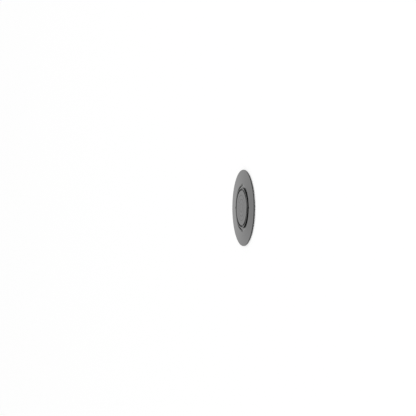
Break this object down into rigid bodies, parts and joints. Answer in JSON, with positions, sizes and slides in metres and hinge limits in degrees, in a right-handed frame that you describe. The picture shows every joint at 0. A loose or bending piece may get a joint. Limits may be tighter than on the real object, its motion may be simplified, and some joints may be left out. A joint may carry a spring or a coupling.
{
  "type": "adhesive magnetic phone patch",
  "caption": "Thin round adhesive patch for a phone's back, with a magnetic centre cap, a collar groove and pointed locking notches that a holder docks on.",
  "frame": {"origin": "centre of the outer adhesive face, the face that bonds to the phone", "axes": "+Z is the disc's axis, from the adhesive towards the side that docks. +X and +Y each point at one of the pointed notches"},
  "size_m": [0.06, 0.06, 0.0029],
  "materials": {
    "shell_plastic": "gloss",
    "cap_plastic": "gloss",
    "black_steel": "gloss",
    "clear_adhesive": "gloss",
    "magnet_nickel": "polished"
  },
  "bodies": {
    "root": {"face_shell": "shell_plastic", "steel_plate": "black_steel", "collar_ring": "black_steel", "centre_cap": "cap_plastic", "adhesive_disc": "clear_adhesive", "magnet_1": "magnet_nickel", "magnet_2": "magnet_nickel", "magnet_3": "magnet_nickel", "magnet_4": "magnet_nickel", "magnet_5": "magnet_nickel", "magnet_6": "magnet_nickel", "magnet_7": "magnet_nickel", "magnet_8": "magnet_nickel"}
  },
  "joints": []
}
